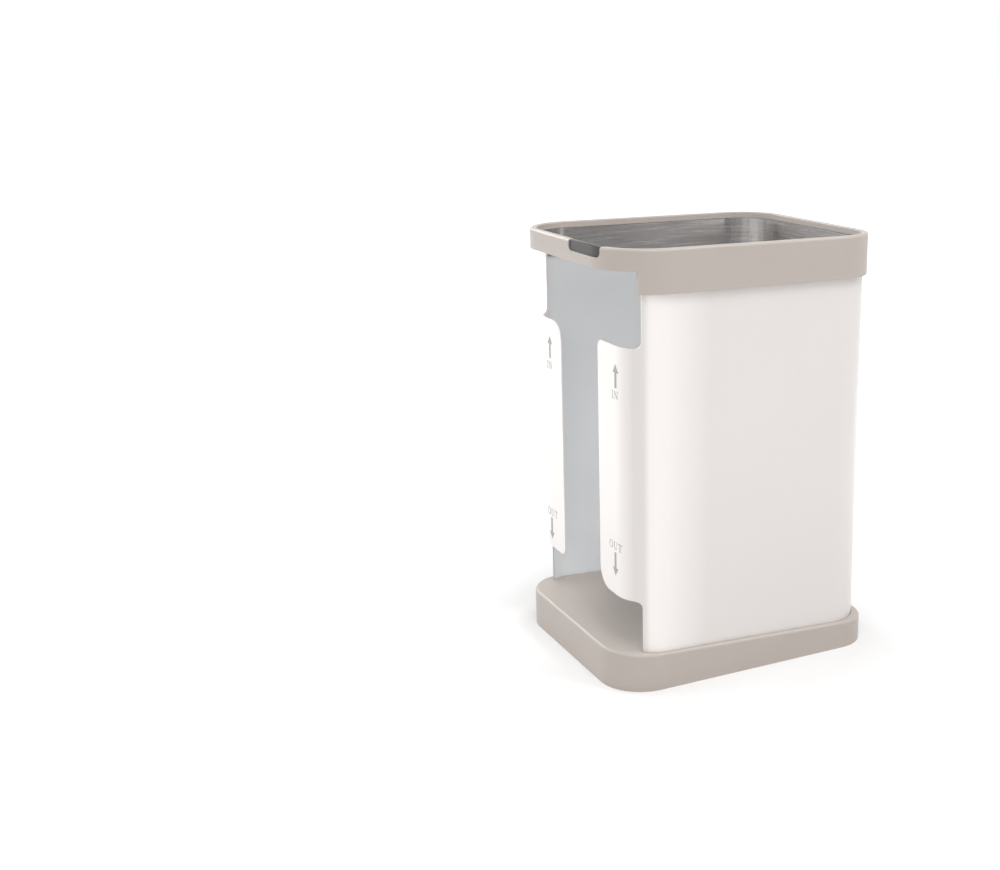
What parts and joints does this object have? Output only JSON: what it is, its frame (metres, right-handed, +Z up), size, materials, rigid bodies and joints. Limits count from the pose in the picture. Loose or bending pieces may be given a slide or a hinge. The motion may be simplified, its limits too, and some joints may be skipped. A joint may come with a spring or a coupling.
{
  "type": "breast milk storage freezer box",
  "caption": "Open-mouthed freezer box for flat milk bags: stepped rim frame, bent sheet sleeve with a slotted, windowed front, and a wedge-shaped base tray",
  "frame": {"origin": "on the surface the box stands on, under the middle of its footprint", "axes": "+Z up, the slotted front faces -Y, +X to the right seen from the front"},
  "size_m": [0.137, 0.165, 0.24],
  "materials": {
    "taupe_moulding": "satin injection-moulded polypropylene",
    "white_sheet": "satin extruded polypropylene sheet",
    "silver_film": "satin foil-faced film",
    "brushed_band": "brushed along its length"
  },
  "bodies": {
    "base": {"base_tray": "taupe_moulding"},
    "wrap": {"sleeve": "white_sheet", "liner": "silver_film"},
    "rim": {"rim_frame": "taupe_moulding", "clamp_ring": "brushed_band"}
  },
  "joints": [
    {"name": "sleeve_lift", "type": "slide", "parent": "base", "child": "wrap", "axis": [0, 0, 1], "range_m": [0, 0.03]},
    {"name": "rim_lift", "type": "slide", "parent": "wrap", "child": "rim", "axis": [0, 0, 1], "range_m": [0, 0.03]}
  ]
}
